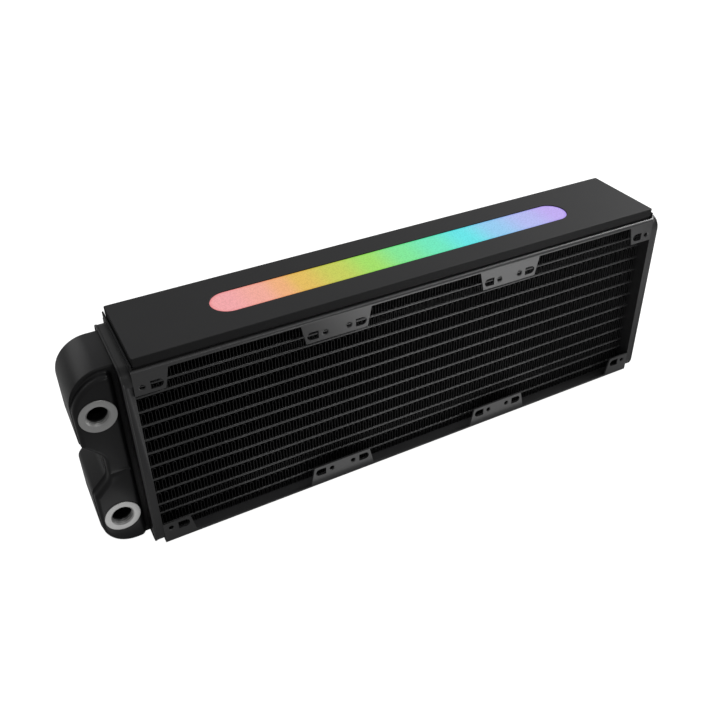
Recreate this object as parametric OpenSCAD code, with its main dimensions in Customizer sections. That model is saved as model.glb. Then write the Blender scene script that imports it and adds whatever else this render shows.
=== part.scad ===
// Liquid cooling radiator for three fans, with two ports on one end tank and a lit cover along the top edge.
// Frame: +X runs from the port tank to the return tank, -Y is the face with the ports, +Z is up.
// The origin is the centre of the footprint on the surface that the radiator stands on.

/* [Fans and frame] */
// Size of one fan, which is also the pitch between fans
fan_size = 120; // [92:1:150]
// Number of fans along the frame
fan_count = 3; // [2:1:4]
// Distance from a fan's edge to its screw holes
fan_hole_inset = 7.5; // [4.5:0.25:9]
// Diameter of the fan screw holes
fan_hole_d = 3; // [2.5:0.1:4.5]
// Width of the countersink round each screw hole, beyond the hole's edge
fan_hole_sink = 0.8; // [0.4:0.1:1.2]
// Depth of the countersink
fan_hole_sink_depth = 0.35; // [0.2:0.05:0.5]
// How much shorter than the fans the frame is at each end
frame_end_trim = 3; // [0:0.5:5]
// How much wider than the fans the frame is at each side
frame_side_margin = 3.5; // [2:0.5:6]
// Depth of the frame, front face to back face
frame_depth = 60; // [50:1:80]
// Sheet thickness of the side rails
rail_t = 1.2; // [0.8:0.1:2]
// Outer radius of the bends in the side rails
rail_bend_r = 2; // [1.6:0.1:3]
// Height of the plain lip between the fan tabs
lip_w = 2.6; // [2.2:0.1:5]
// Metal left between the slots and a fan tab's free edge
tab_margin = 2; // [1:0.1:4]
// Length of a middle tab along its free edge
mid_tab_len = 39; // [32:1:44]
// Length of an end tab along its free edge
end_tab_len = 16.5; // [14:0.5:20]
// How much longer each tab is at its root, per sloping side
tab_slope = 2.8; // [0:0.1:5]
// Distance from a screw hole to the flat end of the slot beside it
slot_offset = 4.3; // [3:0.1:6]
// Length of the slot beside each screw hole
slot_len = 7; // [5:0.1:8]
// Height of the slot beside each screw hole
slot_h = 5.2; // [3:0.1:6]

/* [Core] */
// Thickness of one flat tube
tube_t = 2; // [1.6:0.1:3]
// Wall of a flat tube
tube_wall = 0.3; // [0.2:0.05:0.5]
// Depth from the frame's faces to the core
core_recess = 8.5; // [6:0.5:12]
// Number of wide fin rows in the middle of the core
mid_fin_rows = 8; // [4:2:10]
// Height of the narrow fin row on each side of the wide ones
narrow_fin_h = 5; // [3:0.1:7]
// Height of the fin row outside the narrow one
outer_fin_h = 8; // [5:0.1:10]
// Height of the fin row against each side rail
edge_fin_h = 4.3; // [3:0.1:6]
// Length of one wave of the wide fins
fin_wave = 3.95; // [3.2:0.05:6]
// Length of one wave of the low fins
low_fin_wave = 2.85; // [2.4:0.05:5]
// Thickness of the fin strip along the core
fin_t = 0.2; // [0.1:0.05:0.3]
// Gap between the fins and the header plates
fin_end_gap = 1; // [0.5:0.1:3]
// Clearance left for the braze or solder
braze_gap = 0.05; // [0.02:0.01:0.1]

/* [Header plates] */
// Depth of the rim round each header plate
rim_depth = 5.5; // [4:0.1:8]
// Sheet thickness of the header plates
header_t = 1.2; // [0.8:0.1:2]
// Corner radius of the header plates
header_r = 9; // [6:0.5:14]
// How far the tubes stand out inside the tanks
tube_stick_out = 0.8; // [0.5:0.1:1.5]
// How far the tanks' feet lie below the edge of the header plates' rims
foot_sink = 0.4; // [0.2:0.1:1]

/* [Tanks] */
// How far the return tank stands out beyond its header plate's rim
return_tank_out = 8.5; // [6:0.5:20]
// Distance from the top and bottom of the frame to the tanks
tank_end_gap = 1.5; // [1:0.1:4]
// Distance from the frame's back face to the tanks, and from its front face to the port pad
tank_recess = 8; // [6:0.5:11]
// Height of the port pad in front of the port tank
pad_h = 6; // [3:0.5:8]
// Inset of the port pad from the port tank's top and bottom
pad_inset = 3; // [2.4:0.1:4]
// Inset of the port pad from the port tank's outer side
pad_side_inset = 0.5; // [0.2:0.1:1]
// Gap between the port pad and the header plate's rim
pad_rim_gap = 3; // [2:0.1:5]
// Wall of the tanks
tank_wall = 1.5; // [1:0.1:2.2]
// Outer corner radius of the port tank
tank_corner_r = 20; // [14:0.5:24]
// Outer corner radius of the return tank
return_corner_r = 7.5; // [4:0.5:8]
// Depth of the waist between the two ports
waist_depth = 10; // [6:0.5:11]
// Half the height of the waist's flat bottom
waist_half_h = 4; // [2:0.5:8]
// Radius at the mouth of the waist
waist_mouth_r = 6; // [5:0.5:8]
// Radius at the bottom of the waist
waist_floor_r = 8; // [4:0.5:10]
// Thickness of the plate that parts the inlet side from the outlet side
divider_t = 1.2; // [0.8:0.1:2]

/* [Ports] */
// Distance from the port tank's top and bottom to the port centres
port_end_inset = 25; // [20:0.5:30]
// Distance from the collars to the port tank's outer side
port_outer_margin = 2.3; // [1:0.1:8]
// Distance from the collars to the port pad's inner edge
port_inner_margin = 0.8; // [0.5:0.1:3]
// Bore of a port: the minor diameter of a G1/4 thread
port_bore_d = 11.44; // [9.7:0.01:15]
// How far the collar stands proud of the pad
port_collar_h = 0.5; // [0.3:0.1:2]
// Wall of the port bush inside the tank, beyond the bore
port_bush_wall = 2.78; // [2:0.01:5]
// Width of the collar beyond the bush
port_collar_w = 1.7; // [1:0.1:4]
// Length of the port bush behind the collar
port_bush_len = 11; // [9:0.5:16]
// Depth of the chamfer at a port's mouth
port_chamfer = 0.9; // [0.2:0.1:1.2]

/* [Lit cover] */
// Height of the cover above the frame
cover_rise = 7.3; // [6.8:0.1:12]
// Sheet thickness of the cover
cover_t = 1.2; // [0.8:0.1:1.6]
// Gap between the frame and the lower edge of the cover's skirt
cover_skirt_gap = 2.1; // [1.5:0.1:2.5]
// Radius of the cover's upright corners
cover_corner_r = 1; // [0.5:0.1:2]
// Distance from the frame's faces to the cover
cover_side_inset = 1.3; // [0.5:0.1:3]
// Distance from the frame's ends to the cover
cover_end_inset = 1.5; // [1.4:0.1:4]
// Distance from the cover's ends to its window
window_end_inset = 52.25; // [40:0.25:80]
// Width of the window
window_w = 22; // [16:0.5:30]
// How far the diffuser lies below the cover's top
diffuser_sink = 0.4; // [0.1:0.1:1]
// Width of the flange that holds the diffuser under the cover
diffuser_flange_w = 2.5; // [1.5:0.1:4]
// Thickness of the diffuser's flange
diffuser_flange_t = 1.2; // [0.8:0.1:1.4]
// Clearance between the diffuser and its window
diffuser_gap = 0.1; // [0.05:0.05:0.3]
// Floor and wall thickness of the tray under the cover
tray_t = 1; // [0.8:0.1:1.5]
// Gap between the tray's long walls and the cover's top sheet
tray_wall_gap = 0.9; // [0.5:0.1:1.5]
// Height of the tray's end walls
tray_end_h = 3.9; // [3:0.1:5]
// Gap between the tray's end walls and the frame's ends
tray_end_gap = 0.1; // [0.05:0.05:0.5]
// Clearance between the cover's skirt and the tray
tray_gap = 0.1; // [0.05:0.05:0.3]
// Width of the light board
board_w = 14; // [10:0.5:20]
// Thickness of the light board
board_t = 1; // [0.8:0.1:1.2]
// Pitch of the lamps along the board
lamp_pitch = 16; // [12:1:30]
// Width of one square lamp
lamp_w = 5; // [3:0.1:5.5]
// Height of one lamp
lamp_h = 1.6; // [1:0.1:1.8]
// Width of the socket for the light cable
socket_w = 9; // [7:0.5:12]
// Gap between the socket for the light cable and the cover's top sheet
socket_top_gap = 0.7; // [0.2:0.1:1]
// Length of the socket for the light cable
socket_len = 6; // [5:0.5:8]
// Distance from the socket's middle to the board's end
socket_inset = 18; // [12:1:40]

/* [Fasteners] */
// Shank diameter of the cover screws
cover_screw_d = 2; // [1.6:0.1:2.2]
// Head diameter of the cover screws
cover_screw_head_d = 3.1; // [2.8:0.1:3.3]
// Head height of the cover screws
cover_screw_head_h = 1; // [0.8:0.1:1.2]
// Distance from the frame's ends to the outer cover screws
cover_screw_inset = 25; // [15:1:36]
// Shank diameter of the board screws
board_screw_d = 2; // [1.6:0.1:2.2]
// Head diameter of the board screws
board_screw_head_d = 3.8; // [3.4:0.1:4]
// Head height of the board screws
board_screw_head_h = 1; // [0.8:0.1:1.2]
// Gap between the tray rivets' heads and the tray's long walls
rivet_side_gap = 0.25; // [0.1:0.05:0.5]
// Height of the tray rivets' heads
rivet_head_h = 0.9; // [0.6:0.1:1.2]
// Distance from the frame's ends to the outer rivets
rivet_inset = 40; // [39:1:50]
// Clearance round the shanks
shank_gap = 0.1; // [0.05:0.05:0.2]

/* [Hidden] */
$fn = 48;
nose_fn = 24;
eps = 0.5;
fuse = 0.1;

fan_hole_spacing = fan_size - 2 * fan_hole_inset;
frame_len = fan_count * fan_size - 2 * frame_end_trim;
frame_h = fan_size + 2 * frame_side_margin;
mid_z = frame_h / 2;
port_bush_d = port_bore_d + 2 * port_bush_wall;
port_collar_d = port_bush_d + 2 * port_collar_w;
port_side_inset = pad_rim_gap + port_inner_margin + port_collar_d / 2;
port_tank_out = port_side_inset + port_collar_d / 2 + port_outer_margin;
frame_x = (port_tank_out - return_tank_out) / 2;
frame_x0 = frame_x - frame_len / 2;
frame_x1 = frame_x + frame_len / 2;
front_y = -frame_depth / 2;
back_y = frame_depth / 2;

mid_rows_h = frame_h - 2 * (rail_t + edge_fin_h + outer_fin_h + narrow_fin_h) - (mid_fin_rows + 5) * tube_t;
mid_fin_h = mid_rows_h / mid_fin_rows;
fin_heights = concat([edge_fin_h, outer_fin_h, narrow_fin_h], [for (i = [1:mid_fin_rows]) mid_fin_h],
                     [narrow_fin_h, outer_fin_h, edge_fin_h]);
fin_count = len(fin_heights);
tube_count = fin_count - 1;
core_depth = frame_depth - 2 * core_recess;
fin_x0 = frame_x0 + fin_end_gap;
fin_len = frame_len - 2 * fin_end_gap;
tube_x0 = frame_x0 - header_t - tube_stick_out;
tube_len = frame_len + 2 * (header_t + tube_stick_out);

// Bottom of fin row i, counted from the lower rail
function fin_z(i) = i == 0 ? rail_t : fin_z(i - 1) + fin_heights[i - 1] + tube_t;
// Bottom of tube i
function tube_z(i) = fin_z(i) + fin_heights[i];

fan_hole_z = frame_side_margin + fan_hole_inset;
tab_reach = fan_hole_z + slot_h / 2 + tab_margin;

// Place along the frame of the screw holes on one side of fan i
function fan_hole_x(i, side) = frame_x + (i - (fan_count - 1) / 2) * fan_size + side * fan_hole_spacing / 2;

tank_half_h = mid_z - tank_end_gap;
foot_depth = rim_depth - header_t - foot_sink;
port_rim_x = frame_x0 - rim_depth;
return_rim_x = frame_x1 + rim_depth;
port_tank_x0 = port_rim_x - port_tank_out;
return_tank_x1 = return_rim_x + return_tank_out;
pad_x1 = port_rim_x - pad_rim_gap;
pad_y = front_y + tank_recess;
body_y = pad_y + pad_h;
tank_back_y = back_y - tank_recess;
port_x = port_rim_x - port_side_inset;
port_z_top = mid_z + tank_half_h - port_end_inset;
port_z_low = mid_z - tank_half_h + port_end_inset;
tube_half_pitch = (mid_fin_h + tube_t) / 2;
divider_z = mid_z - tube_half_pitch;

cover_len = frame_len - 2 * cover_end_inset;
cover_depth = frame_depth - 2 * cover_side_inset;
cover_top_z = frame_h + cover_rise;
window_len = cover_len - 2 * window_end_inset;
tray_depth = cover_depth - 2 * (cover_t + tray_gap);
cover_skirt_h = cover_rise - cover_skirt_gap;
tray_wall_h = cover_rise - cover_t - tray_wall_gap;
board_len = window_len;
board_z = frame_h + tray_t;
board_top_z = board_z + board_t;
lamp_count = floor((board_len - window_w) / lamp_pitch) + 1;
lamp_cap_d = 0.8 * lamp_w;
lamp_cap_sink = 0.3;
socket_h = cover_top_z - cover_t - socket_top_gap - board_top_z;
socket_x = frame_x + board_len / 2 - socket_inset;
socket_x0 = socket_x - socket_w / 2;
socket_y1 = cover_depth / 2 - cover_t;
socket_y0 = socket_y1 - socket_len;
socket_wall = 0.8;
socket_back_t = 1.2;
pin_w = 0.5;
pin_pitch = 2;
pin_end_gap = 1;
tongue_margin = 1;
tongue_len = tray_depth / 2 - tray_t - 2 * tray_gap;
board_screw_gaps = [2, floor(lamp_count / 2), lamp_count - 2];
board_screw_x = [for (k = board_screw_gaps) frame_x + (k - lamp_count / 2) * lamp_pitch];
board_screw_recess = [2, 0.4, 0.5];
cover_screw_x = [for (i = [-1:1]) frame_x + i * (frame_len / 2 - cover_screw_inset)];
cover_screw_z = frame_h + (cover_skirt_gap + tray_wall_h) / 2;
cover_screw_tip = 0.8;
cover_screw_len = cover_t + tray_gap + tray_t + cover_screw_tip;
cover_screw_recess = [2, 0.5, 0.6];
rivet_x = [for (i = [-1:1]) frame_x + i * (frame_len / 2 - rivet_inset)];
rivet_y = (tray_depth / 2 - tray_t + core_depth / 2) / 2;
rivet_head_d = tray_depth / 2 - tray_t - core_depth / 2 - 2 * rivet_side_gap;
rivet_tail_d = 0.9 * rivet_head_d;
rivet_d = 0.6 * rivet_head_d;

tube_names = [for (i = [1:tube_count]) str("tube_", i < 10 ? "0" : "", i)];
fin_names = [for (i = [1:fin_count]) str("fin_strip_", i < 10 ? "0" : "", i)];

// ---------------------------------------------------------------- shared shapes

// Rectangle with round corners, centred
module rounded_rect(w, h, r) {
    square([w - 2 * r, h], center = true);
    square([w, h - 2 * r], center = true);
    for (x = [-1, 1], y = [-1, 1])
        translate([x * (w / 2 - r), y * (h / 2 - r)]) circle(r);
}

// Extrudes a YZ outline along +X from x0
module along_x(x0, length) {
    translate([x0, 0, 0]) rotate([90, 0, 90]) linear_extrude(length) children();
}

// Extrudes an XZ outline along +Y from y0
module along_y(y0, length) {
    translate([0, y0 + length, 0]) rotate([90, 0, 0]) linear_extrude(length) children();
}

// Cross recess of a screw head, size = width, slot and depth, sunk from z = 0
module cross_recess(size) {
    for (a = [0, 90])
        rotate(a) translate([-size[0] / 2, -size[1] / 2, -size[2]]) cube([size[0], size[1], size[2] + eps]);
}

// Capsule outline along X, centred
module capsule(length, w) {
    square([length - w, w], center = true);
    for (x = [-1, 1]) translate([x * (length - w) / 2, 0]) circle(w / 2);
}

// ---------------------------------------------------------------- side rails

// Slot beside a screw hole: flat towards the hole, round away from it
module side_slot(dir) {
    r = slot_h / 2;
    translate([min(dir * slot_offset, dir * (slot_offset + slot_len - r)), -r])
        square([slot_len - r, slot_h]);
    translate([dir * (slot_offset + slot_len - r), 0]) circle(r);
}

// Windows between the fan tabs, in the frame's XZ plane measured from the rail's outer face
module lip_windows() {
    root = tab_reach - lip_w;
    for (i = [0:fan_count - 1]) {
        left = i == 0 ? frame_x0 + end_tab_len : frame_x0 - frame_end_trim + i * fan_size + mid_tab_len / 2;
        right = i == fan_count - 1 ? frame_x1 - end_tab_len
              : frame_x0 - frame_end_trim + (i + 1) * fan_size - mid_tab_len / 2;
        polygon([[left, tab_reach + eps], [left, tab_reach], [left + tab_slope, lip_w],
                 [right - tab_slope, lip_w], [right, tab_reach], [right, tab_reach + eps]]);
    }
}

// Screw holes and slots of every fan, as a flat pattern on the rail's row of holes
module fan_holes() {
    for (i = [0:fan_count - 1], side = [-1, 1])
        translate([fan_hole_x(i, side), fan_hole_z]) {
            circle(d = fan_hole_d);
            side_slot(-side);
        }
}

// Countersinks of the screw holes, in both faces of the frame
module fan_hole_sinks() {
    for (i = [0:fan_count - 1], side = [-1, 1], face = [-1, 1])
        translate([fan_hole_x(i, side), face * frame_depth / 2, fan_hole_z]) rotate([face * 90, 0, 0])
            cylinder(r1 = fan_hole_d / 2 + fan_hole_sink, r2 = fan_hole_d / 2, h = fan_hole_sink_depth);
}

// Channel with its web at z = 0 and its lips pointing up, pierced for the fans
module rail() {
    difference() {
        along_x(frame_x0, frame_len) difference() {
            translate([0, tab_reach]) rounded_rect(frame_depth, 2 * tab_reach, rail_bend_r);
            translate([0, tab_reach])
                rounded_rect(frame_depth - 2 * rail_t, 2 * (tab_reach - rail_t), rail_bend_r - rail_t);
            translate([0, 2 * tab_reach]) square([frame_depth + 2 * eps, 2 * tab_reach], center = true);
        }
        along_y(front_y - eps, frame_depth + 2 * eps) lip_windows();
        along_y(front_y - eps, frame_depth + 2 * eps) fan_holes();
        fan_hole_sinks();
    }
}

module lower_side_rail() {
    color("#2b2b2d") rail();
}

module upper_side_rail() {
    color("#2b2b2d") difference() {
        translate([0, 0, frame_h]) mirror([0, 0, 1]) rail();
        for (x = rivet_x, y = [-rivet_y, rivet_y])
            translate([x, y, frame_h - rail_t - eps])
                cylinder(d = rivet_d + 2 * shank_gap, h = rail_t + 2 * eps);
    }
}

// ---------------------------------------------------------------- core

module tube_outline(wall) {
    t = tube_t - 2 * wall;
    square([core_depth - tube_t, t], center = true);
    for (y = [-1, 1]) translate([y * (core_depth - tube_t) / 2, 0]) circle(d = t, $fn = nose_fn);
}

// Hollow flat tube through both header plates
module flat_tube(i) {
    color("#3a3a3c") along_x(tube_x0, tube_len) translate([0, tube_z(i) + tube_t / 2]) difference() {
        tube_outline(0);
        tube_outline(tube_wall);
    }
}

// Corrugated strip that fills one row between two tubes
module fin_strip(i) {
    h = fin_heights[i];
    wave = h > (narrow_fin_h + outer_fin_h) / 2 ? fin_wave : low_fin_wave;
    folds = 2 * floor(fin_len / wave);
    step = fin_len / folds;
    rise = fin_t * h / step;
    zig = [for (k = [0:folds]) [fin_x0 + k * step, fin_z(i) + (k % 2) * (h - rise)]];
    zag = [for (k = [folds:-1:0]) zig[k] + [0, rise]];
    color("#1d1d1f") along_y(-core_depth / 2, core_depth) polygon(concat(zig, zag));
}

// ---------------------------------------------------------------- header plates

// Dished plate with its rim on the tank's side, at x = 0 .. rim_depth, with a slot for each tube
module header_plate() {
    difference() {
        along_x(0, rim_depth) translate([0, mid_z]) rounded_rect(frame_depth, frame_h, header_r);
        along_x(header_t, rim_depth) translate([0, mid_z])
            rounded_rect(frame_depth - 2 * header_t, frame_h - 2 * header_t, header_r - header_t);
        along_x(-eps, header_t + 2 * eps) for (i = [0:tube_count - 1])
            translate([0, tube_z(i) + tube_t / 2]) tube_outline(-braze_gap);
    }
}

module port_header_plate() {
    color("#333335") translate([frame_x0, 0, 0]) mirror([1, 0, 0]) header_plate();
}

module return_header_plate() {
    color("#333335") translate([frame_x1, 0, 0]) header_plate();
}

// Shallow box that seats a tank inside a header plate's rim, at x = 0 .. foot_depth, open at x = 0
module tank_foot() {
    w = frame_depth - 2 * (header_t + braze_gap);
    h = frame_h - 2 * (header_t + braze_gap);
    r = header_r - header_t - braze_gap;
    along_x(0, foot_depth) translate([0, mid_z]) rounded_rect(w, h, r);
}

module tank_foot_hollow() {
    w = frame_depth - 2 * (header_t + braze_gap + tank_wall);
    h = frame_h - 2 * (header_t + braze_gap + tank_wall);
    r = header_r - header_t - braze_gap - tank_wall;
    along_x(-eps, foot_depth - tank_wall + eps) translate([0, mid_z]) rounded_rect(w, h, r);
}

// ---------------------------------------------------------------- port tank

// Upper half of the port tank's outline, shrunk by inset, from its middle up, with its inner end at x1
module port_tank_half(inset, x1) {
    corner = [port_tank_x0 + tank_corner_r, tank_half_h - tank_corner_r];
    floor_arc = [port_tank_x0 + waist_depth - waist_floor_r, waist_half_h];
    diag = sqrt(2) * (waist_mouth_r + waist_floor_r);
    mouth_x = port_tank_x0 + waist_mouth_r;
    mouth = [mouth_x, floor_arc[0] + floor_arc[1] + diag - mouth_x];
    mouth_r = waist_mouth_r - inset;
    floor_r = waist_floor_r + inset;
    corner_r = tank_corner_r - inset;
    half = sqrt(1 / 2);
    difference() {
        intersection() {
            union() {
                polygon([[x1, 0], [x1, tank_half_h - inset], [corner[0], tank_half_h - inset], corner,
                         [port_tank_x0 + inset, corner[1]], [port_tank_x0 + inset, mouth[1]],
                         mouth, mouth - mouth_r * [half, half], floor_arc + floor_r * [half, half],
                         floor_arc + [floor_r, 0], [floor_arc[0] + floor_r, 0]]);
                translate(corner) circle(corner_r);
                translate(mouth) circle(mouth_r);
            }
            translate([port_tank_x0, 0]) square([x1 - port_tank_x0, tank_half_h]);
        }
        translate(floor_arc) circle(floor_r);
    }
}

module port_tank_outline(inset, x1) {
    translate([0, mid_z]) {
        port_tank_half(inset, x1);
        mirror([0, 1]) port_tank_half(inset, x1);
    }
}

// Outline of the port pad, shrunk by inset
module pad_outline(inset) {
    shift = pad_inset - pad_side_inset;
    translate([-shift, 0]) port_tank_outline(pad_inset + inset, pad_x1 + shift - inset);
}

module port_tank_shell() {
    foot_x = frame_x0 - header_t - braze_gap;
    color("#242426") difference() {
        union() {
            translate([foot_x, 0, 0]) mirror([1, 0, 0]) tank_foot();
            along_y(body_y, tank_back_y - body_y) port_tank_outline(0, foot_x - foot_depth + eps);
            along_y(pad_y, pad_h + eps) pad_outline(0);
        }
        translate([foot_x, 0, 0]) mirror([1, 0, 0]) tank_foot_hollow();
        along_y(body_y + tank_wall, tank_back_y - body_y - 2 * tank_wall)
            port_tank_outline(tank_wall, foot_x - foot_depth + tank_wall + eps);
        along_y(pad_y + tank_wall, pad_h + eps) pad_outline(tank_wall);
        for (z = [port_z_low, port_z_top])
            port_cylinder(port_bush_d / 2 + braze_gap, pad_y - eps, tank_wall + 2 * eps, z);
    }
}

// Plate that fills the port tank from wall to wall between two tubes
module tank_divider() {
    foot_x = frame_x0 - header_t - braze_gap;
    foot_w = frame_depth - 2 * (header_t + tank_wall + 2 * braze_gap);
    wall = tank_wall + braze_gap;
    box_z = divider_z - divider_t / 2;
    body_x1 = foot_x - foot_depth + tank_wall;
    color("#6d6a66") intersection() {
        translate([port_tank_x0, front_y, box_z]) cube([foot_x - port_tank_x0, frame_depth, divider_t]);
        union() {
            translate([body_x1, -foot_w / 2, box_z]) cube([foot_x - body_x1, foot_w, divider_t]);
            along_y(body_y + wall, tank_back_y - body_y - 2 * wall) port_tank_outline(wall, body_x1 + eps);
            along_y(pad_y + wall, pad_h + eps) pad_outline(wall);
        }
    }
}

// Cylinder of radius r along +Y from y0, on a port's axis at height z
module port_cylinder(r, y0, length, z) {
    translate([port_x, y0, z]) rotate([-90, 0, 0]) cylinder(r = r, h = length);
}

// Threaded bush of a port, with its collar outside the tank
module port_bush(z) {
    face_y = pad_y - port_collar_h;
    difference() {
        union() {
            port_cylinder(port_collar_d / 2, face_y, port_collar_h, z);
            port_cylinder(port_bush_d / 2, pad_y - port_collar_h / 2, port_bush_len + port_collar_h / 2, z);
        }
        port_cylinder(port_bore_d / 2, face_y - eps, port_bush_len + port_collar_h + 2 * eps, z);
        translate([port_x, face_y, z]) rotate([-90, 0, 0])
            cylinder(r1 = port_bore_d / 2 + port_chamfer, r2 = port_bore_d / 2, h = port_chamfer);
    }
}

module inlet_port_bush() {
    color("#c9c9c6") port_bush(port_z_low);
}

module outlet_port_bush() {
    color("#c9c9c6") port_bush(port_z_top);
}

// ---------------------------------------------------------------- return tank

// Outline of the return tank from x0 to x1, shrunk by inset, with round outer corners
module return_tank_outline(inset, x0, x1) {
    h = 2 * (tank_half_h - inset);
    r = return_corner_r - inset;
    translate([x0, mid_z]) intersection() {
        translate([0, -h / 2]) square([x1 - x0, h]);
        translate([x1 - x0 - h / 2, 0]) rounded_rect(h, h, r);
    }
}

module return_tank_shell() {
    foot_x = frame_x1 + header_t + braze_gap;
    body_x0 = foot_x + foot_depth - tank_wall;
    front = front_y + tank_recess;
    color("#242426") difference() {
        union() {
            translate([foot_x, 0, 0]) tank_foot();
            along_y(front, tank_back_y - front) return_tank_outline(0, body_x0 + eps, return_tank_x1);
        }
        translate([foot_x, 0, 0]) tank_foot_hollow();
        along_y(front + tank_wall, tank_back_y - front - 2 * tank_wall)
            return_tank_outline(tank_wall, body_x0 - eps, return_tank_x1 - tank_wall);
    }
}

// ---------------------------------------------------------------- lit cover

module cover_screw_holes(d, y0, length) {
    for (x = cover_screw_x)
        translate([x, y0, cover_screw_z]) rotate([-90, 0, 0]) cylinder(d = d, h = length);
}

// Folded tray that carries the light board and holds the cover
module led_base_tray() {
    floor_len = frame_len - 2 * tray_end_gap;
    color("#19191a") difference() {
        union() {
            translate([frame_x - floor_len / 2, -tray_depth / 2, frame_h])
                cube([floor_len, tray_depth, tray_t]);
            for (y = [-tray_depth / 2, tray_depth / 2 - tray_t])
                translate([frame_x0 + cover_end_inset + cover_t + tray_gap, y, frame_h])
                    cube([cover_len - 2 * (cover_t + tray_gap), tray_t, tray_wall_h]);
            for (x = [frame_x0 + tray_end_gap, frame_x1 - tray_end_gap - tray_t])
                translate([x, -cover_depth / 2, frame_h]) cube([tray_t, cover_depth, tray_end_h]);
        }
        for (x = rivet_x, y = [-rivet_y, rivet_y])
            translate([x, y, frame_h - eps])
                cylinder(d = rivet_d + 2 * shank_gap, h = tray_t + 2 * eps);
        for (x = board_screw_x)
            translate([x, 0, frame_h - eps]) cylinder(d = board_screw_d, h = tray_t + 2 * eps);
        cover_screw_holes(cover_screw_d, tray_depth / 2 - tray_t - eps, tray_t + 2 * eps);
        translate([socket_x0 - tray_gap, tray_depth / 2 - tray_t - eps, frame_h + tray_t])
            cube([socket_w + 2 * tray_gap, tray_t + 2 * eps, tray_wall_h]);
    }
}

// Cap with a skirt all round, a window for the diffuser and a notch for the socket
module led_cover() {
    inner_len = cover_len - 2 * cover_t;
    inner_depth = cover_depth - 2 * cover_t;
    color("#4a4b4d") difference() {
        translate([frame_x, 0, cover_top_z - cover_skirt_h]) linear_extrude(cover_skirt_h)
            rounded_rect(cover_len, cover_depth, cover_corner_r);
        translate([frame_x - inner_len / 2, -inner_depth / 2, cover_top_z - cover_skirt_h - eps])
            cube([inner_len, inner_depth, cover_skirt_h - cover_t + eps]);
        translate([frame_x, 0, cover_top_z - cover_t - eps]) linear_extrude(cover_t + 2 * eps)
            capsule(window_len, window_w);
        cover_screw_holes(cover_screw_d + 2 * shank_gap, inner_depth / 2 - eps, cover_t + 2 * eps);
        translate([socket_x0 - tray_gap, inner_depth / 2 - eps, board_z])
            cube([socket_w + 2 * tray_gap, cover_t + 2 * eps, board_t + socket_h + tray_gap]);
    }
}

// Milky light bar: a flange under the cover and a raised panel in the window
module light_diffuser() {
    under_z = cover_top_z - cover_t - diffuser_flange_t;
    color("#f2f2ee") translate([frame_x, 0, under_z]) {
        linear_extrude(diffuser_flange_t)
            capsule(window_len + 2 * diffuser_flange_w, window_w + 2 * diffuser_flange_w);
        linear_extrude(diffuser_flange_t + cover_t - diffuser_sink)
            capsule(window_len - 2 * diffuser_gap, window_w - 2 * diffuser_gap);
    }
}

// Long light board with a tongue that carries the cable socket
module led_circuit_board() {
    color("#e8e8e4") difference() {
        union() {
            translate([frame_x - board_len / 2, -board_w / 2, board_z])
                cube([board_len, board_w, board_t]);
            translate([socket_x0 - tongue_margin, 0, board_z])
                cube([socket_w + 2 * tongue_margin, tongue_len, board_t]);
        }
        for (x = board_screw_x)
            translate([x, 0, board_z - eps])
                cylinder(d = board_screw_d + 2 * shank_gap, h = board_t + 2 * eps);
    }
}

// Row of square lamps soldered to the board
module led_lamps() {
    color("#f7f3d0") for (k = [0:lamp_count - 1])
        translate([frame_x + (k - (lamp_count - 1) / 2) * lamp_pitch, 0, board_top_z])
            difference() {
                translate([-lamp_w / 2, -lamp_w / 2, 0]) cube([lamp_w, lamp_w, lamp_h]);
                translate([0, 0, lamp_h - lamp_cap_sink]) cylinder(d = lamp_cap_d, h = eps);
            }
}

// Open-ended socket for the light cable, facing backwards, with its three pins
module led_socket() {
    inner_w = socket_w - 2 * socket_wall;
    inner_h = socket_h - 2 * socket_wall;
    color("#dcdcd6") translate([socket_x0, socket_y0, board_top_z]) difference() {
        cube([socket_w, socket_len, socket_h]);
        translate([socket_wall, socket_back_t, socket_wall]) cube([inner_w, socket_len, inner_h]);
    }
    color("#c8a24a") for (k = [-1:1])
        translate([socket_x + k * pin_pitch - pin_w / 2, socket_y0 + pin_end_gap,
                   board_top_z + (socket_h - pin_w) / 2])
            cube([pin_w, socket_len - 2 * pin_end_gap, pin_w]);
}

// ---------------------------------------------------------------- fasteners

// Pan-head screws through the cover's back skirt into the tray
module cover_screws() {
    color("#1f1f20") for (x = cover_screw_x)
        translate([x, cover_depth / 2, cover_screw_z]) rotate([-90, 0, 0]) {
            difference() {
                cylinder(d = cover_screw_head_d, h = cover_screw_head_h);
                translate([0, 0, cover_screw_head_h]) cross_recess(cover_screw_recess);
            }
            translate([0, 0, -cover_screw_len]) cylinder(d = cover_screw_d, h = cover_screw_len + fuse);
        }
}

// Pan-head screws through the board into the tray
module board_screws() {
    color("#9a9a98") for (x = board_screw_x) translate([x, 0, board_top_z]) {
        difference() {
            cylinder(d = board_screw_head_d, h = board_screw_head_h);
            translate([0, 0, board_screw_head_h]) cross_recess(board_screw_recess);
        }
        translate([0, 0, -board_t - tray_t]) cylinder(d = board_screw_d, h = board_t + tray_t + fuse);
    }
}

// Rivets that hold the tray on the upper rail, in the space between the lips and the core
module tray_rivets() {
    color("#8e8e8c") for (x = rivet_x, y = [-rivet_y, rivet_y]) translate([x, y, frame_h]) {
        translate([0, 0, tray_t]) cylinder(d = rivet_head_d, h = rivet_head_h);
        translate([0, 0, -rail_t - rivet_head_h / 2])
            cylinder(d = rivet_d, h = rail_t + tray_t + rivet_head_h);
        translate([0, 0, -rail_t - rivet_head_h]) cylinder(d = rivet_tail_d, h = rivet_head_h);
    }
}

// ---------------------------------------------------------------- nodes

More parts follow.
